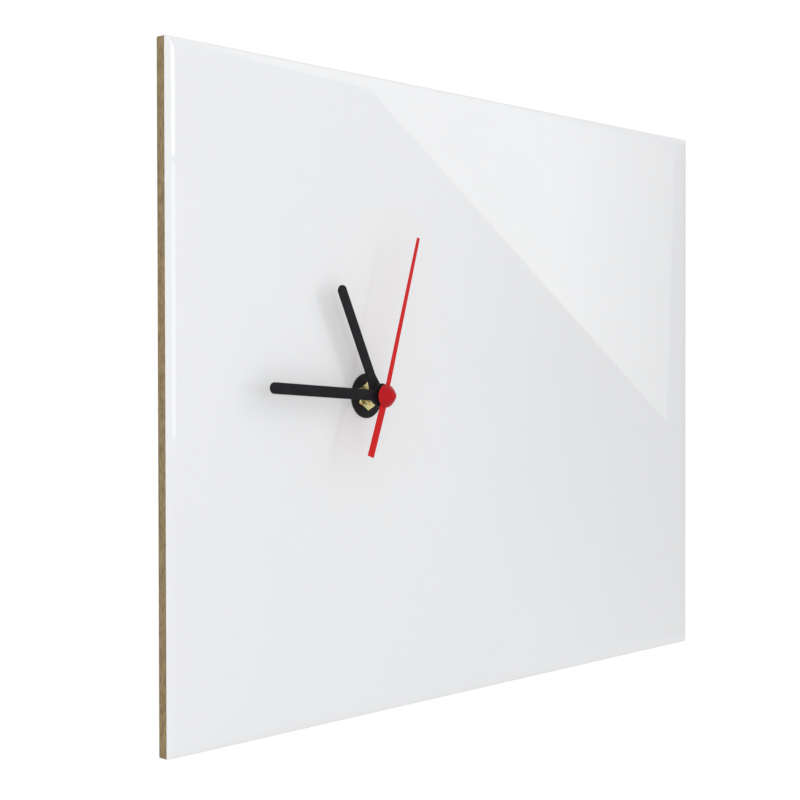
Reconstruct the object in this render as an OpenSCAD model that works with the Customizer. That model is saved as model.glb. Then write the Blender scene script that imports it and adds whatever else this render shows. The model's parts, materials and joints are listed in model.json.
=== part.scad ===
// Wall clock: a gloss-coated board with a battery quartz movement behind it
// and three plain hands in front.
// Frame: millimetres, +Z up, the hands face -Y and the wall is the plane Y = 0.
// The origin is where the hand axis meets the wall.

/* [Panel] */
// Width of the panel
panel_w = 400; // [380:5:420]
// Height of the panel
panel_h = 300; // [280:5:320]
// Thickness of the whole panel, board and coating
panel_t = 6; // [5.5:0.1:6.5]
// Thickness of the white coating
coat_t = 0.3; // [0.2:0.05:0.4]
// Radius of the panel's corners seen from the front
corner_r = 0.8; // [0.4:0.1:3]
// Width of the band that rolls over along each front edge
roll_w = 6; // [4:0.5:8]
// How far the rolled edge falls back from the face
roll_drop = 0.8; // [0.4:0.1:1.2]
// Distance from the panel's left edge to the hand axis
axis_from_left = 120; // [110:5:150]

/* [Hands] */
// Length of the hour hand, axis to tip
hour_len = 56; // [45:1:60]
// Length of the minute hand, axis to tip
minute_len = 71; // [62:1:85]
// Width of the hour and minute hands
baton_w = 5.1; // [4:0.1:6]
// Thickness of the hour and minute hands
baton_t = 1; // [0.6:0.1:1.2]
// Length of the second hand, axis to tip
second_len = 78; // [60:0.1:85]
// Length of the second hand's tail
tail_len = 29.7; // [20:0.1:34]
// Width of the second hand's tail
tail_w = 3.8; // [3:0.1:4.5]
// Sideways set of the tail against the pointer, in degrees
tail_skew = 3; // [0:0.5:4]
// Diameter of the second hand's round hub
second_hub_d = 10.8; // [8:0.1:12]
// Height of the cone on the second hand's hub
second_cone_h = 5.2; // [2:0.1:6]
// Hour hand at rest, degrees clockwise from twelve
hour_angle = 334; // [0:0.1:360]
// Minute hand at rest, degrees clockwise from twelve
minute_angle = 273.4; // [0:0.1:360]
// Second hand at rest, degrees clockwise from twelve
second_angle = 17.2; // [0:0.1:360]

/* [Movement] */
// Width and height of the movement case
case_w = 56; // [56:1:58]
// Depth of the movement case
case_d = 16; // [16:0.5:17]
// Wall thickness of the movement case
wall = 1.2; // [1:0.1:1.4]
// Outer diameter of the threaded bushing
bushing_d = 8; // [7.6:0.1:8.4]
// Width across the flats of the nut
nut_af = 12; // [11:0.5:13]
// Thickness of the nut
nut_t = 1.4; // [1.2:0.1:2.2]
// Diameter of the rubber washer
washer_d = 21; // [18:0.1:24]
// Thickness of the rubber washer
washer_t = 0.5; // [0.3:0.1:1]

/* [Hidden] */

$fn = 64;
eps = 0.02;       // overlap that keeps joined shapes one solid
running = 0.05;   // radial clearance of a running fit

// Planes along Y, front to back
board_y = -case_d;                 // back of the board, front of the case
face_y = board_y - panel_t;        // front of the panel
left_x = -axis_from_left;
right_x = left_x + panel_w;
axis_hole_r = bushing_d / 2 + 1;   // hole through the panel
washer_y = face_y - washer_t;
nut_y = washer_y - nut_t;
bushing_tip_y = nut_y - 0.8;       // the thread stands a little proud of the nut

// Movement case
case_half = case_w / 2;
case_corner_r = 3;
floor_y = board_y + 1;             // inside of the case's front wall
cover_t = 1.2;                     // rear cover
case_in = case_half - wall;        // inside half width of the case
divider_z = -10.6;                 // top of the wall above the battery bay
divider_t = 1;
bay_z = divider_z - divider_t;     // top of the battery bay
flange_r = 5.4;                    // bushing's flange inside the case
flange_t = 0.3;
boss_r = 1.3;                      // pivot bosses on the rear cover
blind = 0.2;                       // material left behind a blind pivot hole
plate_post_r = 1.5;                // posts that carry the middle plate
circuit_post_r = 1.2;              // posts that carry the circuit board

// Hands: plane of each hand's back, and tube radii
hour_y = face_y - 6.8;
minute_y = face_y - 9.5;
second_y = face_y - 12.1;
second_t = 0.6;
arbor_tip_y = second_y - 0.8;      // front end of the seconds arbor
hour_tube_r = 2.5;
hour_hub_r = 4.4;
minute_hub_r = 5.8;
second_collar_r = 1.2;
minute_tube_r = 1.6;
arbor_r = 0.5;                     // seconds and third arbors
thin_r = 0.4;                      // step and rotor arbors
rotor_core_r = 0.7;                // rotor pinion inside the magnet
magnet_r = 3;
seconds_core_r = 0.75;             // joins the second wheel and its pinion
setting_r = 0.75;                  // setting arbor
cannon_sleeve_r = 1.3;             // cannon behind its shoulder
post_r = 0.8;                      // fixed post of the minute wheel

// Layers of the gear train, each [front, back]
hour_layer = [-14.5, -13.5];
cannon_layer = [-13.1, -11.9];
minute_layer = [-13.0, -12.2];
centre_layer = [-11.7, -10.9];
plate_layer = [-10.4, -9.6];
third_layer = [-9.1, -8.4];
stator_layer = [-7.9, -7.1];
core_layer = [-7.1, -6.3];
seconds_layer = [-7.0, -6.2];
step_layer = [-5.4, -4.6];
magnet_layer = [-9.0, -6.2];
arbor_end_y = -1.7;
boss_y = -2.6;                     // front of the rear cover's pivot bosses
circuit_layer = [-8, -7.2];
function wider(layer, by) = [layer[0] - by, layer[1] + by];

// Teeth of each meshing pair, [pinion, wheel]
t_third = [8, 60];                 // seconds pinion, third wheel
t_centre = [8, 64];                // third pinion, centre wheel
t_motion = [12, 36];               // cannon or setting pinion, minute wheel
t_hour = [10, 40];                 // minute pinion, hour wheel
t_seconds = [12, 60];              // step pinion, seconds wheel
t_rotor = [10, 60];                // rotor pinion, step wheel

// Centre distances, and the modules that follow from them
d_third = 8.5;                     // seconds to third, third to centre
d_motion = 7.2;                    // cannon to minute, minute to setting
d_step = 7.2;
d_rotor = 7;
function pair_module(teeth, distance) = 2 * distance / (teeth[0] + teeth[1]);
m_third = pair_module(t_third, d_third);
m_centre = pair_module(t_centre, d_third);
m_motion = pair_module(t_motion, d_motion);
m_hour = pair_module(t_hour, d_motion);
m_seconds = pair_module(t_seconds, d_step);
m_rotor = pair_module(t_rotor, d_rotor);

// Centres of the arbors in the plane of the dial, [x, z]
function polar(r, a) = [r * cos(a), r * sin(a)];
dir_minute = 200;
dir_setting = 150;
dir_third = 100;
dir_step = 20;
dir_rotor = 40;
axis_s = [0, 0];
axis_m = polar(d_motion, dir_minute);
axis_k = axis_m + polar(d_motion, dir_setting);
axis_t = polar(d_third, dir_third);
axis_p = polar(d_step, dir_step);
axis_r = axis_p + polar(d_rotor, dir_rotor);

// Phase of a driven gear, n[1] teeth, whose gaps receive the driver's n[0] teeth
function mesh_phase(phase, n, dir) =
    dir + 180 + 180 / n[1] - (phase - dir) * n[0] / n[1];
function swapped(n) = [n[1], n[0]];
phase_minute = mesh_phase(0, t_motion, dir_minute);
phase_hour = mesh_phase(0, t_hour, dir_minute + 180);
phase_setting = mesh_phase(phase_minute, swapped(t_motion), dir_setting);
phase_third = mesh_phase(0, t_third, dir_third);
phase_centre = mesh_phase(0, t_centre, dir_third + 180);
phase_step_pinion = mesh_phase(0, swapped(t_seconds), dir_step);
phase_step = mesh_phase(0, t_rotor, dir_rotor + 180);

// Battery, lying along X in its bay
battery_r = 7.1;
battery_len = 50;
battery_z = -19.2;
battery_y = -7.7;
nub_len = 1;
nub_r = 2.75;
jacket_t = 0.2;
strip_t = 0.3;                     // thickness of the contact strips
strip_layer = [-8.5, -5.5];
contact_x = battery_len / 2 + 0.35;   // middle of the contact plates
plate_half = 4;                    // half the side of a contact plate
tab_z = 9.2;                       // top of the strips, where they turn to the circuit board
tab_w = 2;

// Coil and stator
coil_x = 8;
coil_z = 21;
coil_len = 20;
coil_half = 4;
sleeve = [1, 2.1];                 // half depth and half height of the bobbin's sleeve
sleeve_bore = [0.45, 1.55];
cheek_t = 1;                       // bobbin's end cheeks
arm_x = [-4.5, 20.5];              // where the stator's arms meet the core
arm_half = 1.5;

// Setting knob in its well
knob_r = 6;
knob_layer = [-2.3, -0.5];
well_r = 7;
well_y = -2.7;

// Hanger at the top of the board, over the balance line
hanger_x = 72;
hanger_z = panel_h / 2 - 24;
hanger_half = 22.5;
hanger_h = 9;
hanger_t = 0.8;
bridge_half = 15;
bridge_y = board_y + 2.4;
hanger_screw_x = 19.3;
hanger_holes = [[hanger_x - hanger_screw_x, hanger_z], [hanger_x + hanger_screw_x, hanger_z]];
screw_r = 1.1;
screw_tip_y = face_y + 1.4;
eye_z = 32.5;                      // eye in the case's own hanging tab
eye_r = 3;
eye_tab_r = 7;

white = [0.95, 0.95, 0.95];
black = [0.06, 0.06, 0.07];
red = [0.78, 0.09, 0.11];
brass = [0.78, 0.66, 0.32];
steel = [0.72, 0.72, 0.74];
natural = [0.9, 0.88, 0.8];

// Extrudes a dial-plane outline between two Y planes
module slab(layer) {
    translate([0, layer[1], 0]) rotate([90, 0, 0]) linear_extrude(layer[1] - layer[0]) children();
}

// Round bar along Y at a dial-plane point
module bar(at, r, y0, y1) {
    slab([y0, y1]) translate(at) circle(r);
}

module rounded_square(x0, x1, z0, z1, r) {
    translate([x0 + r, z0]) square([x1 - x0 - 2 * r, z1 - z0]);
    translate([x0, z0 + r]) square([x1 - x0, z1 - z0 - 2 * r]);
    for (x = [x0 + r, x1 - r], z = [z0 + r, z1 - r]) translate([x, z]) circle(r);
}

// Spur gear outline with one tooth centred on the angle phase
module gear(teeth, m, phase) {
    pitch = m * teeth / 2;
    root = pitch - 1.1 * m;
    tip = pitch + 0.8 * m;
    step = 360 / teeth;
    flank = [[root, -0.29], [tip, -0.12], [tip, 0.12], [root, 0.29]];
    polygon([for (i = [0 : teeth - 1], p = flank) polar(p[0], phase + (i + p[1]) * step)]);
}

module gear_at(at, layer, teeth, m, phase) {
    slab(layer) translate(at) gear(teeth, m, phase);
}

// Front surface of the panel along one axis: flat, falling in a quarter
// ellipse of roll_w by roll_drop at both ends; out beyond the ends it is level
module roll_profile(lo, hi, front, back, over) {
    steps = 8;
    arc = [for (i = [0 : steps]) [roll_w * (1 - cos(90 * i / steps)),
                                  roll_drop * (1 - sin(90 * i / steps))]];
    polygon(concat(
        [[lo - over, back], [lo - over, front + roll_drop]],
        [for (p = arc) [lo + p[0], front + p[1]]],
        [for (i = [steps : -1 : 0]) [hi - arc[i][0], front + arc[i][1]]],
        [[hi + over, front + roll_drop], [hi + over, back]]));
}

module rolled_block(front, back, over) {
    reach = panel_h / 2 + over + 1;
    intersection() {
        translate([0, 0, -reach]) linear_extrude(2 * reach)
            roll_profile(left_x, right_x, front, back, over);
        // Turned so that the profile's first axis lies along Z
        translate([left_x - over - 1, 0, 0]) rotate([90, 0, 90]) linear_extrude(panel_w + 2 * over + 2)
            rotate(90) mirror([0, 1]) roll_profile(-panel_h / 2, panel_h / 2, front, back, over);
    }
}

module panel_outline(front, back) {
    slab([front, back]) rounded_square(left_x, right_x, -panel_h / 2, panel_h / 2, corner_r);
}

module board_core() {
    color([0.56, 0.45, 0.34]) difference() {
        intersection() {
            panel_outline(face_y, board_y);
            rolled_block(face_y + coat_t, board_y, 1);
        }
        bar(axis_s, axis_hole_r, face_y - 1, board_y + 1);
        for (at = hanger_holes) bar(at, screw_r, screw_tip_y - blind, board_y + 1);
    }
}

module face_coating() {
    color(white) difference() {
        intersection() {
            panel_outline(face_y, board_y);
            rolled_block(face_y, face_y + coat_t + roll_drop, 0);
        }
        rolled_block(face_y + coat_t, board_y, 1);
        bar(axis_s, axis_hole_r, face_y - 1, board_y + 1);
    }
}

module rubber_washer() {
    color(black) difference() {
        bar(axis_s, washer_d / 2, washer_y, face_y);
        bar(axis_s, bushing_d / 2 + 0.3, washer_y - 1, face_y + 1);
    }
}

module hex_nut() {
    color(brass) difference() {
        // Corners up and down
        slab([nut_y, washer_y]) rotate(30) circle(nut_af / 2 / cos(30), $fn = 6);
        bar(axis_s, bushing_d / 2, nut_y - 1, washer_y + 1);
    }
}

module threaded_bushing() {
    color(brass) difference() {
        union() {
            bar(axis_s, bushing_d / 2, bushing_tip_y, floor_y + eps);
            bar(axis_s, flange_r, floor_y, floor_y + flange_t);
        }
        bar(axis_s, hour_tube_r + running, bushing_tip_y - 1, floor_y + 1);
    }
}

// Post with a blind pivot hole, standing on the case's front wall
module front_pivot(at, hole_r, length) {
    difference() {
        bar(at, hole_r + 0.8, floor_y - eps, floor_y + length);
        bar(at, hole_r, floor_y + blind, floor_y + length + 1);
    }
}

plate_posts = [[-18, -7], [18, -7], [18, 13.5], [-12, 13.5]];
circuit_posts = [[-23, 24], [-13, 24]];
stator_posts = [for (x = arm_x) [x, coil_z]];

// Outline of the movement case, seen along the hand axis
module case_outline() {
    rounded_square(-case_half, case_half, -case_half, case_half, case_corner_r);
}

// Post from the case's front wall to the layer it carries
module floor_posts(centres, r, layer) {
    for (at = centres) bar(at, r, floor_y - eps, layer[0]);
}

module case_front() {
    slot_w = 1.2;
    pivot_len = 1.2;
    color([0.09, 0.09, 0.1]) {
        difference() {
            slab([board_y, 0]) case_outline();
            // Mechanism space and battery bay, open at the back
            slab([floor_y, 1]) translate([-case_in, divider_z])
                square([2 * case_in, case_in - divider_z]);
            slab([floor_y, 1]) translate([-case_in, -case_in])
                square([2 * case_in, case_in + bay_z]);
            // Seat of the rear cover
            slab([-cover_t, 1]) translate([-case_half - 1, bay_z]) square([case_w + 2, case_w]);
            bar(axis_s, bushing_d / 2, board_y - 1, floor_y + 1);
            // Ways for the contact strips through the divider
            for (side = [-1, 1]) slab([strip_layer[0] - 0.2, 0])
                translate([side * contact_x - slot_w / 2, bay_z - 1]) square([slot_w, divider_t + 2]);
            // Finger notch at the battery
            bar([0, -case_half - 3], 8, -8, 1);
        }
        front_pivot(axis_t, arbor_r + running, pivot_len);
        front_pivot(axis_k, setting_r + running, pivot_len);
        floor_posts([axis_m], post_r, [minute_layer[1]]);
        floor_posts(plate_posts, plate_post_r, plate_layer);
        floor_posts(circuit_posts, circuit_post_r, circuit_layer);
        floor_posts(stator_posts, arm_half, stator_layer);
    }
}

// Pivots in the rear cover, [centre, arbor radius]
rear_pivots = [[axis_s, arbor_r], [axis_t, arbor_r], [axis_p, thin_r], [axis_r, thin_r]];

// Hanging tab: a square foot with a round head
module eye_tab() {
    translate([-eye_tab_r, case_half - 4]) square([2 * eye_tab_r, eye_z - case_half + 4]);
    translate([0, eye_z]) circle(eye_tab_r);
}

module case_rear() {
    tab_t = 2;
    well_wall = 0.9;
    color([0.11, 0.11, 0.12]) difference() {
        union() {
            slab([-cover_t, 0]) intersection() {
                case_outline();
                translate([-case_half, bay_z]) square([case_w, case_w]);
            }
            // The tab is as thin as the cover over the case, and thicker above it
            slab([-cover_t, 0]) eye_tab();
            slab([-tab_t, 0]) intersection() {
                eye_tab();
                translate([-eye_tab_r, case_half + 0.1]) square(4 * eye_tab_r);
            }
            // Wall and floor of the knob's well
            bar(axis_k, well_r + well_wall, well_y - well_wall, -cover_t + eps);
            for (p = rear_pivots) bar(p[0], boss_r, boss_y, -cover_t + eps);
        }
        bar(axis_k, well_r, well_y, 1);
        bar(axis_k, setting_r + running, well_y - 2, 1);
        bar([0, eye_z], eye_r, -tab_t - 1, 1);
        for (p = rear_pivots) bar(p[0], p[1] + running, boss_y - 1, arbor_end_y + blind);
    }
}

module mid_plate() {
    color(natural) difference() {
        slab(plate_layer) rounded_square(-20, 20, -9.5, 15.6, 2);
        for (p = concat(rear_pivots, [[axis_k, setting_r]]))
            bar(p[0], p[1] + running, plate_layer[0] - 1, plate_layer[1] + 1);
    }
}

module along_x(x0, r, length) {
    translate([x0, battery_y, battery_z]) rotate([0, 90, 0]) cylinder(r = r, h = length);
}

module battery_cell() {
    color(steel) {
        along_x(-battery_len / 2, battery_r - jacket_t, battery_len - nub_len);
        along_x(battery_len / 2 - nub_len - eps, nub_r, nub_len + eps);
    }
}

module battery_jacket() {
    inset = 0.8;                   // bare steel left at each end
    color([0.2, 0.25, 0.3]) difference() {
        along_x(-battery_len / 2 + inset, battery_r, battery_len - nub_len - 2 * inset);
        along_x(-battery_len / 2, battery_r - jacket_t, battery_len);
    }
}

// Flat strip in the dial plane, as wide as the strip layer
module strip(x0, x1, z0, z1) {
    slab(strip_layer) translate([x0, z0]) square([x1 - x0, z1 - z0]);
}

// Square plate that presses on one end of the battery
module contact_plate(x) {
    translate([x, battery_y - plate_half, battery_z - plate_half])
        cube([strip_t, 2 * plate_half, 2 * plate_half]);
}

// Tab at the top of a strip, and the tongue under it that lands on the circuit board
module contact_tab(x) {
    tongue_w = 1.3;
    slab([strip_layer[1] - strip_t, strip_layer[1]]) translate([x, tab_z - strip_t]) square([tab_w, 2.6]);
    slab([circuit_layer[1], strip_layer[1]])
        translate([x + tab_w - tongue_w, tab_z + 1.7]) square([tongue_w, 0.6]);
}

module contact_positive() {
    plate_x = contact_x - strip_t / 2;
    run_z = divider_z + 0.1;       // the strip runs along the divider to the left
    left = -22;
    color(steel) {
        contact_plate(plate_x);
        strip(plate_x, plate_x + strip_t, battery_z, run_z + strip_t);
        strip(left, plate_x + strip_t, run_z, run_z + strip_t);
        strip(left, left + strip_t, run_z, tab_z);
        contact_tab(left);
    }
}

module contact_negative() {
    plate_x = -contact_x - strip_t / 2;
    color(steel) {
        contact_plate(plate_x);
        strip(plate_x, plate_x + strip_t, battery_z, tab_z);
        contact_tab(plate_x);
    }
}

module circuit_board() {
    color([0.1, 0.32, 0.18]) slab(circuit_layer) rounded_square(-26, -10.5, 10.2, 26.2, 0.6);
}

module quartz_crystal() {
    can_r = 1.5;
    color(steel) translate([-16, circuit_layer[1] + can_r, 16]) cylinder(r = can_r, h = 8);
}

// Low dome of resin over the chip
module chip_blob() {
    at = [-22, 18];
    color(black) intersection() {
        translate([at[0], circuit_layer[1] - 2.5, at[1]]) sphere(3.6);
        slab([circuit_layer[1], 0]) translate(at) circle(3);
    }
}

coil_y = (core_layer[0] + core_layer[1]) / 2;
coil_x0 = coil_x - coil_len / 2;
coil_x1 = coil_x + coil_len / 2;

// Block along X around the coil core, half = [half depth, half height]
module coil_block(x0, x1, half) {
    translate([x0, coil_y - half[0], coil_z - half[1]]) cube([x1 - x0, 2 * half[0], 2 * half[1]]);
}

module coil_bobbin() {
    cheek = [coil_half, coil_half];
    color(natural) difference() {
        union() {
            coil_block(coil_x0, coil_x1, sleeve);
            coil_block(coil_x0, coil_x0 + cheek_t, cheek);
            coil_block(coil_x1 - cheek_t, coil_x1, cheek);
        }
        coil_block(coil_x0 - 1, coil_x1 + 1, sleeve_bore);
    }
}

module coil_winding() {
    color([0.72, 0.38, 0.2]) difference() {
        translate([coil_x0 + cheek_t, coil_y, coil_z]) rotate([0, 90, 0])
            cylinder(r = coil_half - 0.4, h = coil_len - 2 * cheek_t);
        coil_block(coil_x0, coil_x1, sleeve);
    }
}

module coil_core() {
    color(steel) slab(core_layer) rounded_square(arm_x[0] - arm_half, arm_x[1] + arm_half,
                                                 coil_z - arm_half, coil_z + arm_half, 0.5);
}

// Ring around the rotor, with an arm on each side of the coil up to its core
module stator() {
    ring_r = 5;
    gap_r = magnet_r + 0.5;        // bore around the turning magnet
    top = coil_z + arm_half;
    left = arm_x[0] - arm_half;
    right = arm_x[1] + arm_half;
    color(steel) slab(stator_layer) difference() {
        union() {
            translate(axis_r) circle(ring_r);
            polygon([[8.2, 5.2], [9.5, 11], [-2.4, 16.5], [-2.4, top], [left, top], [left, 14.6]]);
            polygon([[14.6, 10.6], [16.5, 5], [right, 17], [right, top], [18.8, top], [18.8, 16.6]]);
        }
        translate(axis_r) circle(gap_r);
    }
}

module rotor_magnet() {
    color([0.25, 0.25, 0.27]) difference() {
        bar(axis_r, magnet_r, magnet_layer[0], magnet_layer[1]);
        bar(axis_r, rotor_core_r, magnet_layer[0] - 1, magnet_layer[1] + 1);
    }
}

module rotor_pinion() {
    color(natural) {
        bar(axis_r, thin_r, plate_layer[0] + 0.1, arbor_end_y);
        bar(axis_r, rotor_core_r, magnet_layer[0], step_layer[0]);
        gear_at(axis_r, wider(step_layer, 0.2), t_rotor[0], m_rotor, 0);
    }
}

module step_wheel() {
    color(natural) {
        bar(axis_p, thin_r, plate_layer[0] + 0.1, arbor_end_y);
        gear_at(axis_p, [seconds_layer[0] - 0.1, step_layer[0] + eps], t_seconds[0], m_seconds,
                phase_step_pinion);
        gear_at(axis_p, step_layer, t_rotor[1], m_rotor, phase_step);
    }
}

module seconds_arbor() {
    color(steel) bar(axis_s, arbor_r, arbor_tip_y, arbor_end_y);
}

module seconds_wheel() {
    color(natural) difference() {
        union() {
            gear_at(axis_s, seconds_layer, t_seconds[1], m_seconds, 0);
            gear_at(axis_s, wider(third_layer, 0.1), t_third[0], m_third, 0);
            bar(axis_s, seconds_core_r, third_layer[0], seconds_layer[1] + 0.5);
        }
        bar(axis_s, arbor_r, plate_layer[0], 0);
    }
}

module third_wheel() {
    color(natural) {
        bar(axis_t, arbor_r, floor_y + 2 * blind, arbor_end_y);
        gear_at(axis_t, wider(centre_layer, 0.1), t_centre[0], m_centre, 0);
        gear_at(axis_t, third_layer, t_third[1], m_third, phase_third);
    }
}

module centre_wheel() {
    color(natural) difference() {
        gear_at(axis_s, centre_layer, t_centre[1], m_centre, phase_centre);
        bar(axis_s, cannon_sleeve_r + running, centre_layer[0] - 1, centre_layer[1] + 1);
    }
}

module cannon_pinion() {
    shoulder_y = hour_layer[1] + 0.1;
    color(brass) difference() {
        union() {
            bar(axis_s, minute_tube_r, minute_y - baton_t, shoulder_y);
            bar(axis_s, cannon_sleeve_r, shoulder_y - eps, plate_layer[0] - 0.2);
            gear_at(axis_s, cannon_layer, t_motion[0], m_motion, 0);
        }
        bar(axis_s, arbor_r + running, minute_y - baton_t - 1, plate_layer[0]);
    }
}

module minute_wheel() {
    color(natural) difference() {
        union() {
            gear_at(axis_m, [hour_layer[0] - 0.2, minute_layer[0] + eps], t_hour[0], m_hour, 0);
            gear_at(axis_m, minute_layer, t_motion[1], m_motion, phase_minute);
        }
        bar(axis_m, post_r + running, floor_y - 1, 0);
    }
}

module hour_wheel() {
    color(natural) difference() {
        union() {
            gear_at(axis_s, hour_layer, t_hour[1], m_hour, phase_hour);
            bar(axis_s, hour_tube_r, hour_y - baton_t, hour_layer[0] + eps);
        }
        bar(axis_s, minute_tube_r + running, hour_y - baton_t - 1, hour_layer[1] + 1);
    }
}

module setting_pinion() {
    color(natural) {
        bar(axis_k, setting_r, floor_y + 2 * blind, knob_layer[1] - 0.4);
        gear_at(axis_k, cannon_layer, t_motion[0], m_motion, phase_setting);
    }
}

module setting_knob() {
    grips = 20;
    cut_r = 0.45;                  // radius of each finger cut
    cut_out = 0.15;                // its centre lies this far outside the rim
    color([0.12, 0.12, 0.13]) slab(knob_layer) difference() {
        translate(axis_k) circle(knob_r);
        translate(axis_k) circle(setting_r);
        for (i = [0 : grips - 1]) translate(axis_k + polar(knob_r + cut_out, 360 * i / grips))
            circle(cut_r, $fn = 16);
    }
}

// Outline pointing up from the axis, turned clockwise to its rest angle
module at_rest(angle) {
    rotate(-angle) children();
}

module baton(length, hub_r) {
    translate([-baton_w / 2, 0]) square([baton_w, length - baton_w / 2]);
    translate([0, length - baton_w / 2]) circle(baton_w / 2);
    circle(hub_r);
}

// Widening of the hour hand towards its hub
module flare() {
    root = 3.7;                    // half width at the hub
    half = baton_w / 2;
    polygon([[-root, 2], [root, 2], [root, 4], [half, 10], [-half, 10], [-root, 4]]);
}

module hour_hand() {
    color(black) slab([hour_y - baton_t, hour_y]) difference() {
        at_rest(hour_angle) {
            baton(hour_len, hour_hub_r);
            flare();
        }
        circle(hour_tube_r);
    }
}

module minute_hand() {
    color(black) slab([minute_y - baton_t, minute_y]) difference() {
        at_rest(minute_angle) baton(minute_len, minute_hub_r);
        circle(minute_tube_r);
    }
}

module second_pointer() {
    tip_w = 1.6;
    root_w = 2.5;
    color(red) slab([second_y - second_t, second_y]) difference() {
        at_rest(second_angle) {
            polygon([[-root_w / 2, 0], [root_w / 2, 0],
                     [tip_w / 2, second_len], [-tip_w / 2, second_len]]);
            rotate(-tail_skew) translate([-tail_w / 2, -tail_len]) square([tail_w, tail_len]);
            // Eye that sits on the collar, hidden by the hub
            circle(second_hub_d / 4);
        }
        circle(second_collar_r);
    }
}

module second_hub() {
    disc_t = 0.5;
    collar_len = 1.1;
    top_y = second_y - second_t - disc_t;
    color(red) difference() {
        union() {
            bar(axis_s, second_collar_r, top_y, second_y + collar_len);
            bar(axis_s, second_hub_d / 2, top_y, second_y - second_t);
            // Cone in front, with a blunt tip
            translate([0, top_y + eps, 0]) rotate([90, 0, 0])
                cylinder(r1 = second_hub_d / 2 - 0.1, r2 = 1, h = second_cone_h);
        }
        bar(axis_s, arbor_r, arbor_tip_y, second_y + collar_len + 1);
    }
}

module sawtooth_hanger() {
    tooth = 2.5;
    count = 2 * bridge_half / tooth;
    ramp = 2;                      // length of the slope from the feet to the bridge
    skew = hanger_t / 2;           // keeps the slope as thick as the rest
    y0 = board_y;
    y1 = bridge_y;
    outer = hanger_half;
    inner = bridge_half;
    profile = [[-outer, y0], [-inner - ramp, y0], [-inner, y1 - hanger_t], [inner, y1 - hanger_t],
               [inner + ramp, y0], [outer, y0], [outer, y0 + hanger_t],
               [inner + ramp + skew, y0 + hanger_t], [inner + skew, y1], [-inner - skew, y1],
               [-inner - ramp - skew, y0 + hanger_t], [-outer, y0 + hanger_t]];
    color(steel) difference() {
        translate([hanger_x, 0, hanger_z - hanger_h / 2]) linear_extrude(hanger_h) polygon(profile);
        for (i = [0 : count - 1])
            slab([y1 - hanger_t - 0.2, y1 + 1])
                translate([hanger_x - bridge_half + (i + 0.5) * tooth, hanger_z - hanger_h / 2])
                    polygon([[-tooth / 2, -1], [-tooth / 2, 0], [0, 1.6], [tooth / 2, 0], [tooth / 2, -1]]);
        for (at = hanger_holes) bar(at, screw_r, board_y - 1, board_y + 2);
    }
}

module hanger_screws() {
    head_y = board_y + hanger_t;
    head_r = 2.1;
    head_t = 1.1;
    recess = [2.6, 0.5];           // length and width of each arm of the cross
    color(steel) for (at = hanger_holes) difference() {
        union() {
            bar(at, screw_r, screw_tip_y, head_y + eps);
            bar(at, head_r, head_y, head_y + head_t);
        }
        // Cross recess
        slab([head_y + head_t / 2, head_y + 2 * head_t]) translate(at)
            for (a = [0, 90]) rotate(a) square(recess, center = true);
    }
}

board_core();
face_coating();
rubber_washer();
hex_nut();
threaded_bushing();
case_front();
case_rear();
mid_plate();
battery_cell();
battery_jacket();
contact_positive();
contact_negative();
circuit_board();
quartz_crystal();
chip_blob();
coil_bobbin();
coil_winding();
coil_core();
stator();
rotor_magnet();
rotor_pinion();
step_wheel();
seconds_arbor();
seconds_wheel();
third_wheel();
centre_wheel();
cannon_pinion();
minute_wheel();
hour_wheel();
setting_pinion();
setting_knob();
hour_hand();
minute_hand();
second_pointer();
second_hub();
sawtooth_hanger();
hanger_screws();
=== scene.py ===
# %% [markdown]
# # A wall clock, built around its CAD frame
# A glossy white panel, a nut on a threaded bushing over a rubber washer, and three plain hands;
# behind the panel a black movement case with its battery, its setting knob and two ways to hang.
#
# The CAD model gives every place and size. This notebook gives the looks: each visible piece is
# modelled again with bevels, rolled edges and threads, and each material is made from nodes.
# The CAD model is loaded first, and each finished piece prints its size beside its CAD node's.

# %% Load the CAD frame
import json
from math import asin, cos, pi, radians, sin, tau
import bmesh
import bpy
from mathutils import Matrix, Vector

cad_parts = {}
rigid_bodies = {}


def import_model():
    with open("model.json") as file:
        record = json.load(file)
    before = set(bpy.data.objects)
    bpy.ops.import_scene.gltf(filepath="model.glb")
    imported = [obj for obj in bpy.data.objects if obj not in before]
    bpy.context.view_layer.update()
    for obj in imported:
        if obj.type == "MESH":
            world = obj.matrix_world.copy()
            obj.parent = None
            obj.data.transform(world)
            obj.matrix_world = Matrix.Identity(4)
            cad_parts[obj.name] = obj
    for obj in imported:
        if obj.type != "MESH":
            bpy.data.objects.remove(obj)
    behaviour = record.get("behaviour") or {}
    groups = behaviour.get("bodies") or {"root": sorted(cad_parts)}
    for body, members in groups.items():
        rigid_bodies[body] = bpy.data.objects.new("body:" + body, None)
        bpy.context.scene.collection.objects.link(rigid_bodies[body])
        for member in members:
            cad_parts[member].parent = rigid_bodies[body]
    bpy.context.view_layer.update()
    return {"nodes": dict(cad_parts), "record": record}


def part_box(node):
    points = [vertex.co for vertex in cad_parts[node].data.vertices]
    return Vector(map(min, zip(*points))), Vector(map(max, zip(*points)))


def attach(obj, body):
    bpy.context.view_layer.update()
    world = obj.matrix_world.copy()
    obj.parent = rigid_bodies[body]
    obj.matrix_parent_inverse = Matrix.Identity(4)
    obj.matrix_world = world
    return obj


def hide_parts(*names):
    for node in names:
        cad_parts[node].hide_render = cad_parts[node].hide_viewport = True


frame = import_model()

nodes = frame["nodes"]

# %% [markdown]
# ## Small tools
# Everything is modelled in millimetres, because that is how such parts are drawn, and becomes
# metres in one step when a piece is finished. `mm_box` reads a CAD node's place in millimetres.

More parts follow.
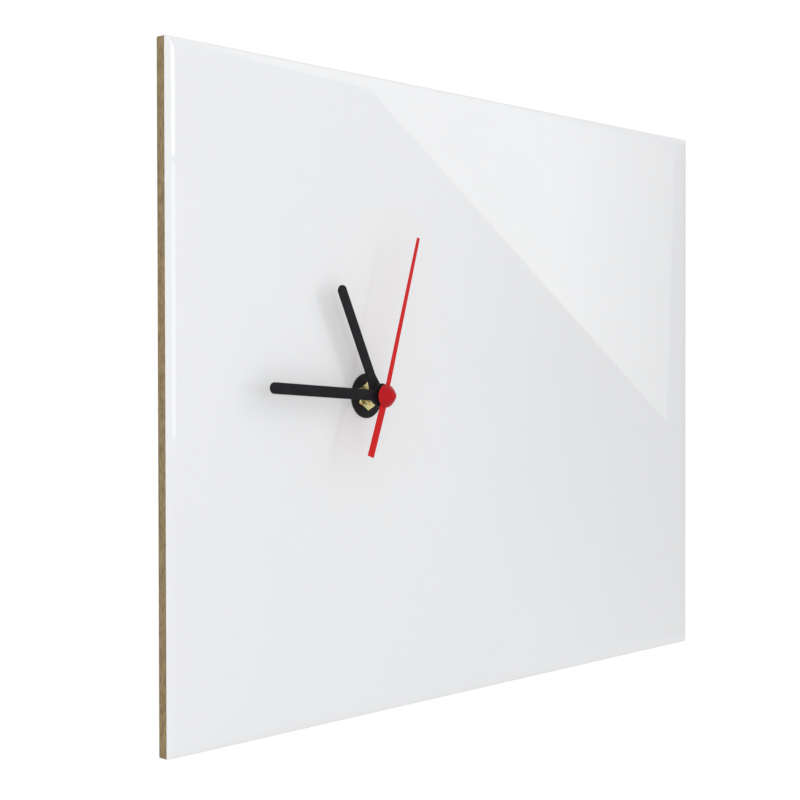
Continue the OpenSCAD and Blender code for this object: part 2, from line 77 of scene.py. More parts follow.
# %% Millimetres, selection and edit mode
MERGE = 0.0005    # points closer than this, in millimetres, are one point
ON = 0.001        # how near a plane a point has to be to lie on it, in millimetres
SHARP = radians(60)
UPRIGHT = (pi / 2, 0, 0)    # turns what Blender makes lying flat to face along -Y


def mm_box(node):
    lo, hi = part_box(node)
    return Vector(lo) * 1000, Vector(hi) * 1000


def only(obj):
    """Leaves one object selected and active."""
    bpy.ops.object.select_all(action="DESELECT")
    obj.select_set(True)
    bpy.context.view_layer.objects.active = obj
    return obj


def edit():
    bpy.ops.object.mode_set(mode="EDIT")
    bpy.ops.mesh.select_mode(type="VERT")
    bpy.ops.mesh.select_all(action="SELECT")


def pick(test, kind="EDGE"):
    """In edit mode, selects the edges or faces that pass test(middle, element), and counts them."""
    bpy.ops.mesh.select_mode(type=kind)
    bpy.ops.mesh.select_all(action="DESELECT")
    mesh = bmesh.from_edit_mesh(bpy.context.object.data)
    found = 0
    for item in mesh.faces if kind == "FACE" else mesh.edges:
        middle = sum((v.co for v in item.verts), Vector()) / len(item.verts)
        if test(middle, item):
            item.select_set(True)
            found += 1
    bmesh.update_edit_mesh(bpy.context.object.data)
    return found


def from_axis(at):
    """How far a point is from the hand axis."""
    return Vector((at.x, at.z)).length


def push(x=0.0, y=0.0, z=0.0):
    """Extrudes the selection and moves it."""
    bpy.ops.mesh.extrude_region_move(TRANSFORM_OT_translate={"value": (x, y, z)})


def resize(x, z, centre=(0, 0, 0)):
    """Scales the selection across the face, about a centre."""
    bpy.ops.transform.resize(value=(x, 1, z), center_override=centre)


def tidy():
    """Merges doubled points and turns every face outward."""
    bpy.ops.mesh.select_all(action="SELECT")
    bpy.ops.mesh.remove_doubles(threshold=MERGE)
    bpy.ops.mesh.normals_make_consistent(inside=False)

# %% [markdown]
# `draw` makes a chain of edges the way one draws a profile by hand: one point, extruded from
# place to place. Two shapes grow from a drawn chain. `spun` turns it around an axis, as a lathe
# does, and `plate` fills it and gives it thickness, as stamping from sheet does.

# %% Draw, spin and stamp
def draw(points, name):
    bpy.ops.object.select_all(action="DESELECT")
    bpy.ops.mesh.primitive_plane_add(size=1)
    bpy.context.object.name = name
    edit()
    bpy.ops.mesh.merge(type="CENTER")
    bpy.ops.transform.translate(value=points[0])
    for a, b in zip(points, points[1:]):
        push(*(Vector(b) - Vector(a)))
    return bpy.context.object


def spun(name, profile, centre=(0, 0), along="Y", steps=96):
    """profile is a list of (radius, place along the axis); centre is where the axis lies."""
    if along == "Y":
        points = [(centre[0] + r, s, centre[1]) for r, s in profile]
        middle, axis = (centre[0], 0, centre[1]), (0, 1, 0)
    else:
        points = [(s, centre[0], centre[1] + r) for r, s in profile]
        middle, axis = (0, centre[0], centre[1]), (1, 0, 0)
    obj = draw(points, name)
    bpy.ops.mesh.select_all(action="SELECT")
    bpy.ops.mesh.spin(steps=steps, angle=tau, center=middle, axis=axis)
    tidy()
    bpy.ops.object.mode_set(mode="OBJECT")
    print(name, "spun,", len(obj.data.polygons), "faces")
    return obj


def plate(name, outline, front, back, bevel):
    """outline is a closed loop of (x, z), with no point repeated."""
    loop = outline + outline[:1]
    obj = draw([(x, front, z) for x, z in loop], name)
    bpy.ops.mesh.select_all(action="SELECT")
    bpy.ops.mesh.remove_doubles(threshold=MERGE)
    bpy.ops.mesh.edge_face_add()
    push(y=back - front)
    tidy()
    pick(lambda at, e: e.calc_face_angle(0) > SHARP and abs(at.y - front) < ON)
    bpy.ops.mesh.bevel(offset=bevel, segments=3, affect="EDGES")
    bpy.ops.object.mode_set(mode="OBJECT")
    print(name, "stamped,", len(obj.data.polygons), "faces")
    return obj

# %% [markdown]
# A drill is a cylinder taken away with a Boolean modifier, which is applied at once. `as_made`
# copies a CAD node for the moulded and folded pieces: its loose triangles are merged, flat
# areas are joined again, and a small bevel rounds every sharp edge as a mould or a press would.

# %% Drill holes, copy moulded pieces, finish a piece
def apply_modifier(obj, kind, **settings):
    only(obj)
    bpy.ops.object.modifier_add(type=kind)
    modifier = obj.modifiers[-1]
    for key, value in settings.items():
        setattr(modifier, key, value)
    bpy.ops.object.modifier_apply(modifier=modifier.name)


def cut_with(obj, tool, operation="DIFFERENCE"):
    """Combines the piece with the tool, and removes the tool."""
    apply_modifier(obj, "BOOLEAN", object=tool, operation=operation, solver="EXACT")
    bpy.data.objects.remove(tool)


def drill(obj, r, y0, y1):
    """Takes a hole of radius r around the hand axis out of the piece, from y0 to y1."""
    bpy.ops.object.select_all(action="DESELECT")
    bpy.ops.mesh.primitive_cylinder_add(vertices=64, radius=r, depth=y1 - y0,
                                        rotation=UPRIGHT, location=(0, (y0 + y1) / 2, 0))
    cut_with(obj, bpy.context.object)


def as_made(node, bevel):
    """A copy of a CAD node, merged and bevelled, in millimetres."""
    only(nodes[node])
    bpy.ops.object.duplicate()
    obj = bpy.context.object
    bpy.ops.object.parent_clear(type="CLEAR_KEEP_TRANSFORM")
    obj.data.transform(Matrix.Scale(1000, 4))
    edit()
    tidy()
    bpy.ops.mesh.dissolve_limited(angle_limit=radians(0.5))
    bpy.ops.object.mode_set(mode="OBJECT")
    apply_modifier(obj, "BEVEL", width=bevel, segments=2, limit_method="ANGLE",
                   angle_limit=radians(40), harden_normals=False)
    print(node, "copied and bevelled,", len(obj.data.polygons), "faces")
    return obj


finished = {}


def finish(obj, node, body, slot, smooth=35):
    """Metres, smooth shading, and the piece's place in the assembly."""
    only(obj)
    obj.name = obj.data.name = node + "_look"
    obj.data.transform(Matrix.Scale(0.001, 4))
    bpy.ops.object.transform_apply(location=True, rotation=True, scale=True)
    bpy.ops.object.shade_smooth_by_angle(angle=radians(smooth))
    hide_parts(node)
    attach(obj, body)
    obj.data.materials.clear()
    finished[node] = (obj, slot)
    size = [round(v * 1000, 2) for v in obj.dimensions]
    cad = [round(v, 2) for v in mm_box(node)[1] - mm_box(node)[0]]
    print(f"{node}: {len(obj.data.polygons)} faces, {size} mm, CAD {cad} mm")

# %% [markdown]
# ## The panel
# The board is fibreboard, 6 mm thick with its coat. Its front carries a white gloss coating
# that rolls over the edge, so each border reflects like a thin tube, and the cut side of the
# board stays brown. Real ones are coated flat, and the edge softens as the coat is pressed
# around it.
#
# The roll is a quarter of an ellipse. It starts as a rounded rectangle: a plane whose four
# corners are bevelled. That outline is then extruded inward and forward in nine small steps.
# Scaling each new loop keeps the corner arcs clean, where an inset wider than the corner's
# radius would make them cross. Inside the roll, the flat face runs to the hole by way of three
# wider circles. The last loop and each circle have 72 points, so the strips between them hold
# no slivers, which would show as dark dashes under the gloss.

# %% A sheet with a rolled edge
panel_lo, panel_hi = mm_box("board_core")
coat_lo, coat_hi = mm_box("face_coating")
face = coat_lo.y
coat = panel_lo.y - face
drop = coat_hi.y - coat - face
middle = (panel_lo + panel_hi) / 2
panel_centre = (middle.x, 0, middle.z)
half = (panel_hi - panel_lo) / 2
ROLL, CORNER, STEPS, HOLE = 6.0, 0.8, 9, 5.0
LOOP = 72                         # points around the hole and the circles
CIRCLES = [60.0, 26.0, 12.0, HOLE]
FRAME, ARC_WIDTH = 0.4, 1.0       # the frame inside the roll, and what merges one corner arc
LONG_EDGE, WHOLE_FACE = 50, 10000    # millimetres and square millimetres


def rolled_sheet(name, front):
    """The rolled front with its hole, in edit mode, open at the back and at the hole."""
    bpy.ops.object.select_all(action="DESELECT")
    bpy.ops.mesh.primitive_plane_add(size=2, rotation=UPRIGHT)
    obj = bpy.context.object
    obj.name = name
    obj.scale = (half.x, half.z, 1)
    obj.location = (middle.x, front + drop, middle.z)
    bpy.ops.object.transform_apply(location=True, rotation=True, scale=True)
    edit()
    bpy.ops.mesh.bevel(offset=CORNER, segments=6, affect="VERTICES")
    # Each of the four sides becomes a quarter of the loop's points
    pick(lambda at, e: e.calc_length() > LONG_EDGE)
    bpy.ops.mesh.subdivide(number_cuts=LOOP // 4 - 1)
    pick(lambda at, f: True, "FACE")
    reach = height = 0.0
    for i in range(1, STEPS + 1):
        new_reach = ROLL * (1 - cos(pi / 2 * i / STEPS))
        new_height = drop * sin(pi / 2 * i / STEPS)
        push(y=height - new_height)
        resize(*[(side - new_reach) / (side - reach) for side in (half.x, half.z)], panel_centre)
        reach, height = new_reach, new_height
    # A narrow flat frame keeps the shading of the roll from creeping over the face
    bpy.ops.mesh.inset(thickness=FRAME)
    # Each corner arc of the frame's inner loop becomes one point, or slivers would run to the hole
    bpy.ops.mesh.remove_doubles(threshold=ARC_WIDTH)
    # The middle goes, and so does the plane that extruding left behind
    pick(lambda at, f: f.calc_area() > WHOLE_FACE, "FACE")
    bpy.ops.mesh.delete(type="FACE")
    bridge_to_hole(front)
    return obj


def bridge_to_hole(y):
    """Joins the open loop in the plane y to the hole, by way of wider circles around it."""
    bpy.ops.mesh.select_mode(type="EDGE")
    bpy.ops.mesh.select_all(action="DESELECT")
    bpy.ops.mesh.primitive_circle_add(vertices=LOOP, radius=CIRCLES[0], location=(0, y, 0),
                                      rotation=UPRIGHT)
    pick(lambda at, e: (e.is_boundary or e.is_wire) and abs(at.y - y) < ON)
    bpy.ops.mesh.bridge_edge_loops(number_cuts=4, interpolation="LINEAR")
    for old, new in zip(CIRCLES, CIRCLES[1:]):
        pick(lambda at, e: e.is_boundary and from_axis(at) < old + 0.1)
        push()
        resize(new / old, new / old)

# %% The coating and the board
coating = rolled_sheet("coating", face)
bpy.ops.mesh.select_all(action="SELECT")
push(y=coat)
tidy()
bpy.ops.object.mode_set(mode="OBJECT")
finish(coating, "face_coating", "case", "gloss_white", smooth=25)

board = rolled_sheet("board", face + coat)
pick(lambda at, e: e.is_boundary and from_axis(at) < HOLE + 0.1)
push(y=panel_hi.y - face - coat)
pick(lambda at, e: e.is_boundary and abs(at.y - coat_hi.y) < ON)
push(y=panel_hi.y - coat_hi.y)
# A frame 1 mm wide on the back, whose inner corners are then merged to one point each
push()
resize(1 - 1 / half.x, 1 - 1 / half.z, panel_centre)
bpy.ops.mesh.remove_doubles(threshold=1.5)
pick(lambda at, e: e.is_boundary)
bpy.ops.mesh.bridge_edge_loops(number_cuts=8, interpolation="LINEAR")
tidy()
pick(lambda at, e: abs(at.y - panel_hi.y) < ON and e.calc_face_angle(0) > SHARP)
bpy.ops.mesh.bevel(offset=0.25, segments=2, affect="EDGES")
bpy.ops.object.mode_set(mode="OBJECT")
finish(board, "board_core", "case", "mdf", smooth=25)
print("panel", [round(v, 2) for v in half * 2], "coat", round(coat, 2), "drop", round(drop, 2))

# %% [markdown]
# ## What holds the movement to the panel
# A thin rubber washer spreads the nut's grip without marking the coat. Its moulded edges are round.
# The nut is a hexagon chamfered on both faces: real nuts are turned to a cone before they are
# cut off, so the cone is a spun shape that the hexagon is intersected with. The bushing's thread
# is a row of ridges that comes out of the nut, with a chamfer where the thread starts.

# %% Rubber washer
lo, hi = mm_box("rubber_washer")
r, bore, round_off, arc_steps = (hi.x - lo.x) / 2, 4.3, 0.16, 5
profile = [(bore, hi.y), (bore, lo.y + 0.1), (bore + 0.1, lo.y),
           (r - 1.1, lo.y), (r - 0.9, lo.y + 0.05), (r - 0.7, lo.y)]
for i in range(arc_steps + 1):
    bend = pi / 2 * i / arc_steps
    profile.append((r - round_off * (1 - sin(bend)), lo.y + round_off * (1 - cos(bend))))
profile += [(r, hi.y - 0.1), (r - 0.1, hi.y), (bore, hi.y)]
washer = spun("washer", profile)
finish(washer, "rubber_washer", "case", "black_rubber")

# %% Hexagon nut
lo, hi = mm_box("hex_nut")
corner_r, bore = (hi.z - lo.z) / 2, 4.0
flat_r = corner_r * cos(pi / 6)
bpy.ops.object.select_all(action="DESELECT")
bpy.ops.mesh.primitive_cylinder_add(vertices=6, radius=corner_r, depth=hi.y - lo.y,
                                    rotation=UPRIGHT, location=(0, (lo.y + hi.y) / 2, 0))
nut = bpy.context.object
bpy.ops.object.transform_apply(location=True, rotation=True, scale=True)
chamfer = spun("chamfer", [(0, lo.y), (flat_r - 0.15, lo.y), (corner_r + 0.1, lo.y + 0.85),
                           (corner_r + 0.1, hi.y - 0.2), (flat_r + 0.5, hi.y), (0, hi.y)])
cut_with(nut, chamfer, "INTERSECT")
drill(nut, bore, lo.y - 1, hi.y + 1)
only(nut)
edit()
print("bore edges", pick(lambda at, e: abs(from_axis(at) - bore) < 0.05
                         and min(abs(at.y - lo.y), abs(at.y - hi.y)) < ON))
bpy.ops.mesh.bevel(offset=0.3, segments=1, affect="EDGES")
bpy.ops.object.mode_set(mode="OBJECT")
apply_modifier(nut, "BEVEL", width=0.06, segments=2, limit_method="ANGLE",
               angle_limit=radians(20))
finish(nut, "hex_nut", "case", "brass", smooth=25)

# %% Threaded bushing
lo, hi = mm_box("threaded_bushing")
bore, outer, flange = 2.55, 4.0, (hi.x - lo.x) / 2
pitch, crest, root, thread_r = 0.6, 0.08, 0.06, outer - 0.3
nut_front = face - 1.9
profile = [(bore, hi.y), (bore, lo.y + 0.3), (bore + 0.3, lo.y),
           (outer - 0.5, lo.y), (outer - 0.28, lo.y + 0.2)]
y = lo.y + 0.35
while y < nut_front:
    profile += [(outer, y), (outer, y + crest),
                (thread_r, y + pitch / 2), (thread_r, y + pitch / 2 + root)]
    y += pitch
profile += [(outer, y), (outer, hi.y - 0.3), (flange, hi.y - 0.3), (flange, hi.y), (bore, hi.y)]
bushing = spun("bushing", profile)
finish(bushing, "threaded_bushing", "case", "brass", smooth=20)

# %% [markdown]
# ## The hands
# The hour and minute hands are stamped from 1 mm sheet with full round tips; the hour hand
# widens a little before its hub. The outline is computed pointing at twelve and turned to the
# time the clock shows. The printed sizes show whether it has the CAD hand's size.

# %% Outlines of the hands
def arc(centre, r, start, end, count):
    """Points on an arc; angles in degrees, clockwise from twelve."""
    angles = [start + (end - start) * i / count for i in range(count + 1)]
    return [(centre[0] + r * sin(radians(a)), centre[1] + r * cos(radians(a))) for a in angles]


def turned(points, angle):
    """The same points, turned clockwise by an angle in degrees."""
    c, s = cos(radians(angle)), sin(radians(angle))
    return [(x * c + z * s, z * c - x * s) for x, z in points]


def baton(length, width, hub_r, flare=()):
    """A round hub and a straight hand; flare gives (half width, place) where it widens."""
    half_w = width / 2
    side = list(flare)
    meet = side[0][0] if side else half_w
    open_at = asin(meet / hub_r) * 180 / pi
    hub = arc((0, 0), hub_r, open_at, 360 - open_at, 40)
    left = [(-x, z) for x, z in side]
    right = [(x, z) for x, z in reversed(side)]
    tip = arc((0, length - half_w), half_w, -90, 90, 20)
    return hub + left + tip + right

# %% Hour and minute hands
HOUR_ANGLE, MINUTE_ANGLE, SECOND_ANGLE = 334.0, 273.4, 17.2
HAND_WIDTH, HAND_BEVEL = 5.1, 0.22
HOUR_LENGTH, HOUR_HUB, HOUR_BORE = 56.0, 4.4, 2.5
HOUR_FLARE = [(3.7, 4.0), (HAND_WIDTH / 2, 10.0)]
MINUTE_LENGTH, MINUTE_HUB, MINUTE_BORE = 71.0, 5.8, 1.6

lo, hi = mm_box("hour_hand")
outline = turned(baton(HOUR_LENGTH, HAND_WIDTH, HOUR_HUB, HOUR_FLARE), HOUR_ANGLE)
hour = plate("hour", outline, lo.y, hi.y, HAND_BEVEL)
drill(hour, HOUR_BORE, lo.y - 1, hi.y + 1)
finish(hour, "hour_hand", "hour_hand", "hand_black")

lo, hi = mm_box("minute_hand")
outline = turned(baton(MINUTE_LENGTH, HAND_WIDTH, MINUTE_HUB), MINUTE_ANGLE)
minute = plate("minute", outline, lo.y, hi.y, HAND_BEVEL)
drill(minute, MINUTE_BORE, lo.y - 1, hi.y + 1)
finish(minute, "minute_hand", "minute_hand", "hand_black")

# %% [markdown]
# The second hand is one thin strip: a tapering pointer, a small eye, and a wider tail that sits
# three degrees off the pointer's line. Its red hub is pressed over the eye: a flat disc that
# rises in a blunt cone, with a collar behind that grips the arbor.

# %% Second hand and its hub
lo, hi = mm_box("second_pointer")
# The eye's radius, half the width at the pointer's root, at its tip and of the tail, then how far
# the pointer and the tail reach, and the tail's angle
eye, root, tip_w, tail_w = 2.7, 1.25, 0.8, 1.9
reach, tail_len, skew = 78.0, 29.7, 3.0
at_root, at_tail = asin(root / eye) * 180 / pi, asin(tail_w / eye) * 180 / pi
outline = arc((0, 0), eye, at_root, 180 + skew - at_tail, 14)
outline += turned([(tail_w, -tail_len), (-tail_w, -tail_len)], skew)
outline += arc((0, 0), eye, 180 + skew + at_tail, 360 - at_root, 14)
outline += [(-tip_w, reach), (tip_w, reach)]
pointer = plate("pointer", turned(outline, SECOND_ANGLE), lo.y, hi.y, 0.12)
drill(pointer, 1.2, lo.y - 1, hi.y + 1)
finish(pointer, "second_pointer", "second_hand", "hand_red")

lo, hi = mm_box("second_hub")
disc_r, base = (hi.x - lo.x) / 2, lo.y + 5.18
collar_r, bore, belly, cone_steps = 1.2, 0.5, 0.28, 8
profile = [(0, lo.y), (0.55, lo.y + 0.03), (0.95, lo.y + 0.2)]
for i in range(1, cone_steps + 1):
    t = i / cone_steps
    profile.append((0.95 + (disc_r - 1.05) * t + belly * sin(pi * t),
                    lo.y + 0.2 + (base - lo.y - 0.35) * t))
profile += [(disc_r, base + 0.1), (disc_r, base + 0.4), (disc_r - 0.12, base + 0.5),
            (collar_r, base + 0.5), (collar_r, hi.y), (bore, hi.y), (bore, base + 0.3),
            (0, base + 0.3)]
hub = spun("hub", profile)
finish(hub, "second_hub", "second_hand", "hub_red", smooth=40)

# %% [markdown]
# ## Behind the panel
# The movement case, its cover and its knob are mouldings, and the hanger and screws are folded
# and turned steel. Their edges are never sharp, so each is the CAD shape with small bevels.
# The battery is spun: a steel can with its crimp and nub, inside a thin printed sleeve.

# %% Case, cover, knob, hanger, screws
for node, bevel, body, slot in (("case_front", 0.25, "case", "case_plastic"),
                                ("case_rear", 0.18, "case", "case_plastic"),
                                ("setting_knob", 0.12, "setting_knob", "knob_plastic"),
                                ("sawtooth_hanger", 0.12, "case", "zinc_steel"),
                                ("hanger_screws", 0.1, "case", "zinc_steel")):
    finish(as_made(node, bevel), node, body, slot, smooth=30)

# %% Battery
lo, hi = mm_box("battery_jacket")
outer = (hi.z - lo.z) / 2
can_lo, can_hi = mm_box("battery_cell")
can_r = (can_hi.z - can_lo.z) / 2
centre = ((can_lo.y + can_hi.y) / 2, (can_lo.z + can_hi.z) / 2)
shoulder = can_hi.x - 1
profile = [(0, can_lo.x), (4.4, can_lo.x), (4.7, can_lo.x + 0.25),
           (5.6, can_lo.x + 0.3), (6.3, can_lo.x + 0.1),
           (can_r - 0.1, can_lo.x + 0.25), (can_r, can_lo.x + 0.6), (can_r, shoulder - 0.5),
           (can_r - 0.35, shoulder), (3.6, shoulder), (3.3, shoulder - 0.15), (2.9, shoulder - 0.1),
           (2.75, shoulder + 0.1), (2.75, can_hi.x - 0.3), (2.45, can_hi.x), (0, can_hi.x)]
can = spun("can", profile, centre, "X")
finish(can, "battery_cell", "battery", "nickel_steel")
inner = outer - 0.2
profile = [(inner, lo.x), (outer - 0.06, lo.x), (outer, lo.x + 0.12), (outer, hi.x - 0.12),
           (outer - 0.06, hi.x), (inner, hi.x), (inner, lo.x)]
jacket = spun("jacket", profile, centre, "X")
finish(jacket, "battery_jacket", "battery", "battery_wrap")

# %% [markdown]
# ## Materials
# No surface has one flat colour. Each material mixes a few layers, and what several materials
# share is a node group with named inputs:
#
# - `Mottle` drifts between two tones at a chosen scale, the way pigment and fibre vary.
# - `Handled` gives a roughness that wanders, as a surface touched and wiped does.
# - `Texture` is the height of a fine surface texture, which can be stretched into a grain.
# - `Dust` is a mask of dust on what faces up.
# - `Rub` is a mask of edges, where corners are rubbed brighter.
# - `Turning` is the height of the fine rings that a lathe leaves around the hand axis.
#
# Groups put out only colours, masks and heights, and the shader itself stays in the material.

# %% Node helpers
def new_node(tree, kind, settings=None, **inputs):
    made = tree.nodes.new(kind)
    for key, value in (settings or {}).items():
        setattr(made, key, value)
    for key, value in inputs.items():
        connect(tree, made.inputs[key.replace("_", " ")], value)
    return made


def connect(tree, socket, value):
    if isinstance(value, bpy.types.NodeSocket):
        tree.links.new(value, socket)
    else:
        socket.default_value = value


def calc(tree, operation, a, b=0.0, clamp=False):
    """A Math node's result."""
    made = tree.nodes.new("ShaderNodeMath")
    made.operation, made.use_clamp = operation, clamp
    connect(tree, made.inputs[0], a)
    connect(tree, made.inputs[1], b)
    return made.outputs[0]


def blend(tree, factor, a, b):
    """Mixes two colours."""
    made = tree.nodes.new("ShaderNodeMix")
    made.data_type = "RGBA"
    connect(tree, made.inputs[0], factor)
    connect(tree, made.inputs[6], a)
    connect(tree, made.inputs[7], b)
    return made.outputs[2]


def remap(tree, value, lo, hi, new_lo=0.0, new_hi=1.0):
    made = tree.nodes.new("ShaderNodeMapRange")
    for socket, item in zip(made.inputs, (value, lo, hi, new_lo, new_hi)):
        connect(tree, socket, item)
    return made.outputs[0]


def times(tree, a, b):
    return calc(tree, "MULTIPLY", a, b)


def noise(tree, place, scale, detail, **more):
    """The grey value of a Noise texture."""
    return new_node(tree, "ShaderNodeTexNoise", Vector=place, Scale=scale, Detail=detail,
                    **more).outputs["Fac"]


def coordinate(tree, kind="Object"):
    return new_node(tree, "ShaderNodeTexCoord").outputs[kind]


def split(tree, vector):
    """The X, Y and Z of a vector."""
    return new_node(tree, "ShaderNodeSeparateXYZ", Vector=vector).outputs


def new_group(name, inputs, outputs):
    """inputs and outputs are {name: (socket kind, default)}; returns tree, inputs, outputs."""
    tree = bpy.data.node_groups.new(name, "ShaderNodeTree")
    for key, (kind, default) in inputs.items():
        tree.interface.new_socket(key, in_out="INPUT", socket_type=kind).default_value = default
    for key, kind in outputs.items():
        tree.interface.new_socket(key, in_out="OUTPUT", socket_type=kind)
    given, out = tree.nodes.new("NodeGroupInput"), tree.nodes.new("NodeGroupOutput")
    return tree, given.outputs, out.inputs


FLOAT, COLOR, VECTOR = "NodeSocketFloat", "NodeSocketColor", "NodeSocketVector"

# %% Group: Mottle
mottle, given, out = new_group("Mottle", {
    "Tone A": (COLOR, (0.5, 0.5, 0.5, 1)), "Tone B": (COLOR, (0.4, 0.4, 0.4, 1)),
    "Scale": (FLOAT, 80.0), "Contrast": (FLOAT, 1.0), "Stretch": (VECTOR, (1, 1, 1))},
    {"Color": COLOR})
place = new_node(mottle, "ShaderNodeMapping", Vector=coordinate(mottle),
                 Scale=given["Stretch"]).outputs[0]
broad = noise(mottle, place, given["Scale"], 4.0, Roughness=0.55)
fine = noise(mottle, place, times(mottle, given["Scale"], 7.0), 3.0)
both = calc(mottle, "ADD", times(mottle, broad, 0.65), times(mottle, fine, 0.35))
centred = times(mottle, calc(mottle, "SUBTRACT", both, 0.5), times(mottle, given["Contrast"], 3.0))
mask = calc(mottle, "ADD", centred, 0.5, clamp=True)
connect(mottle, out["Color"], blend(mottle, mask, given["Tone A"], given["Tone B"]))

# %% Group: Handled
handled, given, out = new_group("Handled", {
    "Roughness": (FLOAT, 0.4), "Spread": (FLOAT, 0.08), "Scale": (FLOAT, 30.0)},
    {"Roughness": FLOAT})
smear = noise(handled, coordinate(handled), given["Scale"], 5.0, Distortion=0.6)
offset = times(handled, calc(handled, "SUBTRACT", smear, 0.5), times(handled, given["Spread"], 2.0))
connect(handled, out["Roughness"], calc(handled, "ADD", given["Roughness"], offset, clamp=True))

# %% Group: Texture
texture, given, out = new_group("Texture", {
    "Scale": (FLOAT, 900.0), "Stretch": (VECTOR, (1, 1, 1)), "Cells": (FLOAT, 0.0)},
    {"Height": FLOAT})
place = new_node(texture, "ShaderNodeMapping", Vector=coordinate(texture),
                 Scale=given["Stretch"]).outputs[0]
pits = new_node(texture, "ShaderNodeTexVoronoi", Vector=place, Scale=given["Scale"])
rough = times(texture, pits.outputs["Distance"], given["Cells"])
soft = noise(texture, place, given["Scale"], 4.0)
connect(texture, out["Height"], calc(texture, "ADD", soft, rough))

# %% Group: Dust
dust, given, out = new_group("Dust", {"Amount": (FLOAT, 0.3), "Scale": (FLOAT, 400.0)},
                             {"Mask": FLOAT})
upward = split(dust, new_node(dust, "ShaderNodeNewGeometry").outputs["Normal"])["Z"]
flecks = noise(dust, coordinate(dust), given["Scale"], 6.0)
lying = times(dust, remap(dust, upward, 0.3, 1.0), remap(dust, flecks, 0.35, 0.75))
connect(dust, out["Mask"], calc(dust, "MULTIPLY", lying, given["Amount"], clamp=True))

# %% Group: Rub
rub, given, out = new_group("Rub", {"Amount": (FLOAT, 0.4), "Scale": (FLOAT, 300.0)},
                            {"Mask": FLOAT})
pointed = new_node(rub, "ShaderNodeNewGeometry").outputs["Pointiness"]
edges = remap(rub, pointed, 0.505, 0.56)
broken = remap(rub, noise(rub, coordinate(rub), given["Scale"], 4.0), 0.35, 0.65)
worn = times(rub, edges, broken)
connect(rub, out["Mask"], calc(rub, "MULTIPLY", worn, given["Amount"], clamp=True))

# %% Group: Turning
turning, given, out = new_group("Turning", {"Pitch": (FLOAT, 0.00012)}, {"Height": FLOAT})
place = split(turning, coordinate(turning))
squares = [calc(turning, "POWER", place[key], 2.0) for key in "XZ"]
radius = calc(turning, "SQRT", calc(turning, "ADD", *squares))
phase = times(turning, calc(turning, "DIVIDE", radius, given["Pitch"]), tau)
drift = new_node(turning, "ShaderNodeTexNoise", {"noise_dimensions": "1D"},
                 W=times(turning, radius, 6000.0), Scale=1.0).outputs["Fac"]
connect(turning, out["Height"], times(turning, calc(turning, "SINE", phase), drift))
print("groups:", [g.name for g in bpy.data.node_groups])

# %% [markdown]
# ### One recipe, many finishes
# `make` builds a material from the groups. Its arguments are the numbers that differ from one
# finish to the next: two tones, how rough, how metallic, how much clear gloss lies on top, how
# strongly the surface under it shines, the scale and depth of the surface texture, and how much
# dust and rubbing shows.

# %% The recipe
def use(tree, group, **inputs):
    made = new_node(tree, "ShaderNodeGroup", {"node_tree": group})
    for key, value in inputs.items():
        connect(tree, made.inputs[key.replace("_", " ")], value)
    return made.outputs


def rgb(r, g, b):
    return (r, g, b, 1.0)


DUST_TONE = rgb(0.55, 0.53, 0.50)


def make(name, tone_a, tone_b, rough, spread=0.06, metallic=0.0, coat=0.0, shine=0.5,
         scale=60.0, contrast=1.0, stretch=(1, 1, 1), texture_scale=900.0, depth=0.05, cells=0.0,
         dusty=0.1, rubbed=0.2, rub_tone=None):
    """The arguments go with the groups above; rub_tone is the colour of a rubbed edge."""
    made = bpy.data.materials.new(name)
    made.use_nodes = True
    tree = made.node_tree
    shader = tree.nodes["Principled BSDF"]
    tone = use(tree, mottle, Tone_A=rgb(*tone_a), Tone_B=rgb(*tone_b), Scale=scale,
               Contrast=contrast, Stretch=stretch)["Color"]
    if rubbed:
        edge = use(tree, rub, Amount=rubbed)["Mask"]
        paler = [min(1, c * 1.5 + 0.03) for c in tone_a]
        tone = blend(tree, edge, tone, rgb(*(rub_tone or paler)))
    lying = use(tree, dust, Amount=dusty)["Mask"]
    tone = blend(tree, lying, tone, DUST_TONE)
    roughness = use(tree, handled, Roughness=rough, Spread=spread)["Roughness"]
    roughness = calc(tree, "ADD", roughness, times(tree, lying, 0.4), clamp=True)
    height = use(tree, texture, Scale=texture_scale, Stretch=stretch, Cells=cells)["Height"]
    bump = new_node(tree, "ShaderNodeBump", Height=height, Strength=depth, Distance=0.0002)
    connect(tree, shader.inputs["Base Color"], tone)
    connect(tree, shader.inputs["Roughness"], roughness)
    connect(tree, shader.inputs["Normal"], bump.outputs[0])
    for key, value in {"Metallic": metallic, "Coat Weight": coat, "Coat Roughness": 0.02,
                       "Specular IOR Level": shine}.items():
        shader.inputs[key].default_value = value
    return made

# %% [markdown]
# ### The gloss coat, the board, the brass
# The coat is a clear, almost mirror-smooth layer on a white ground, with a faint orange peel
# that only shows where a reflection runs across it. The cut board is packed wood fibre: darker
# flecks, long fibres lying in the plane of the sheet, and a paler pressed skin on the back.
# Brass is turned, so its bump is a set of rings around the hand axis.

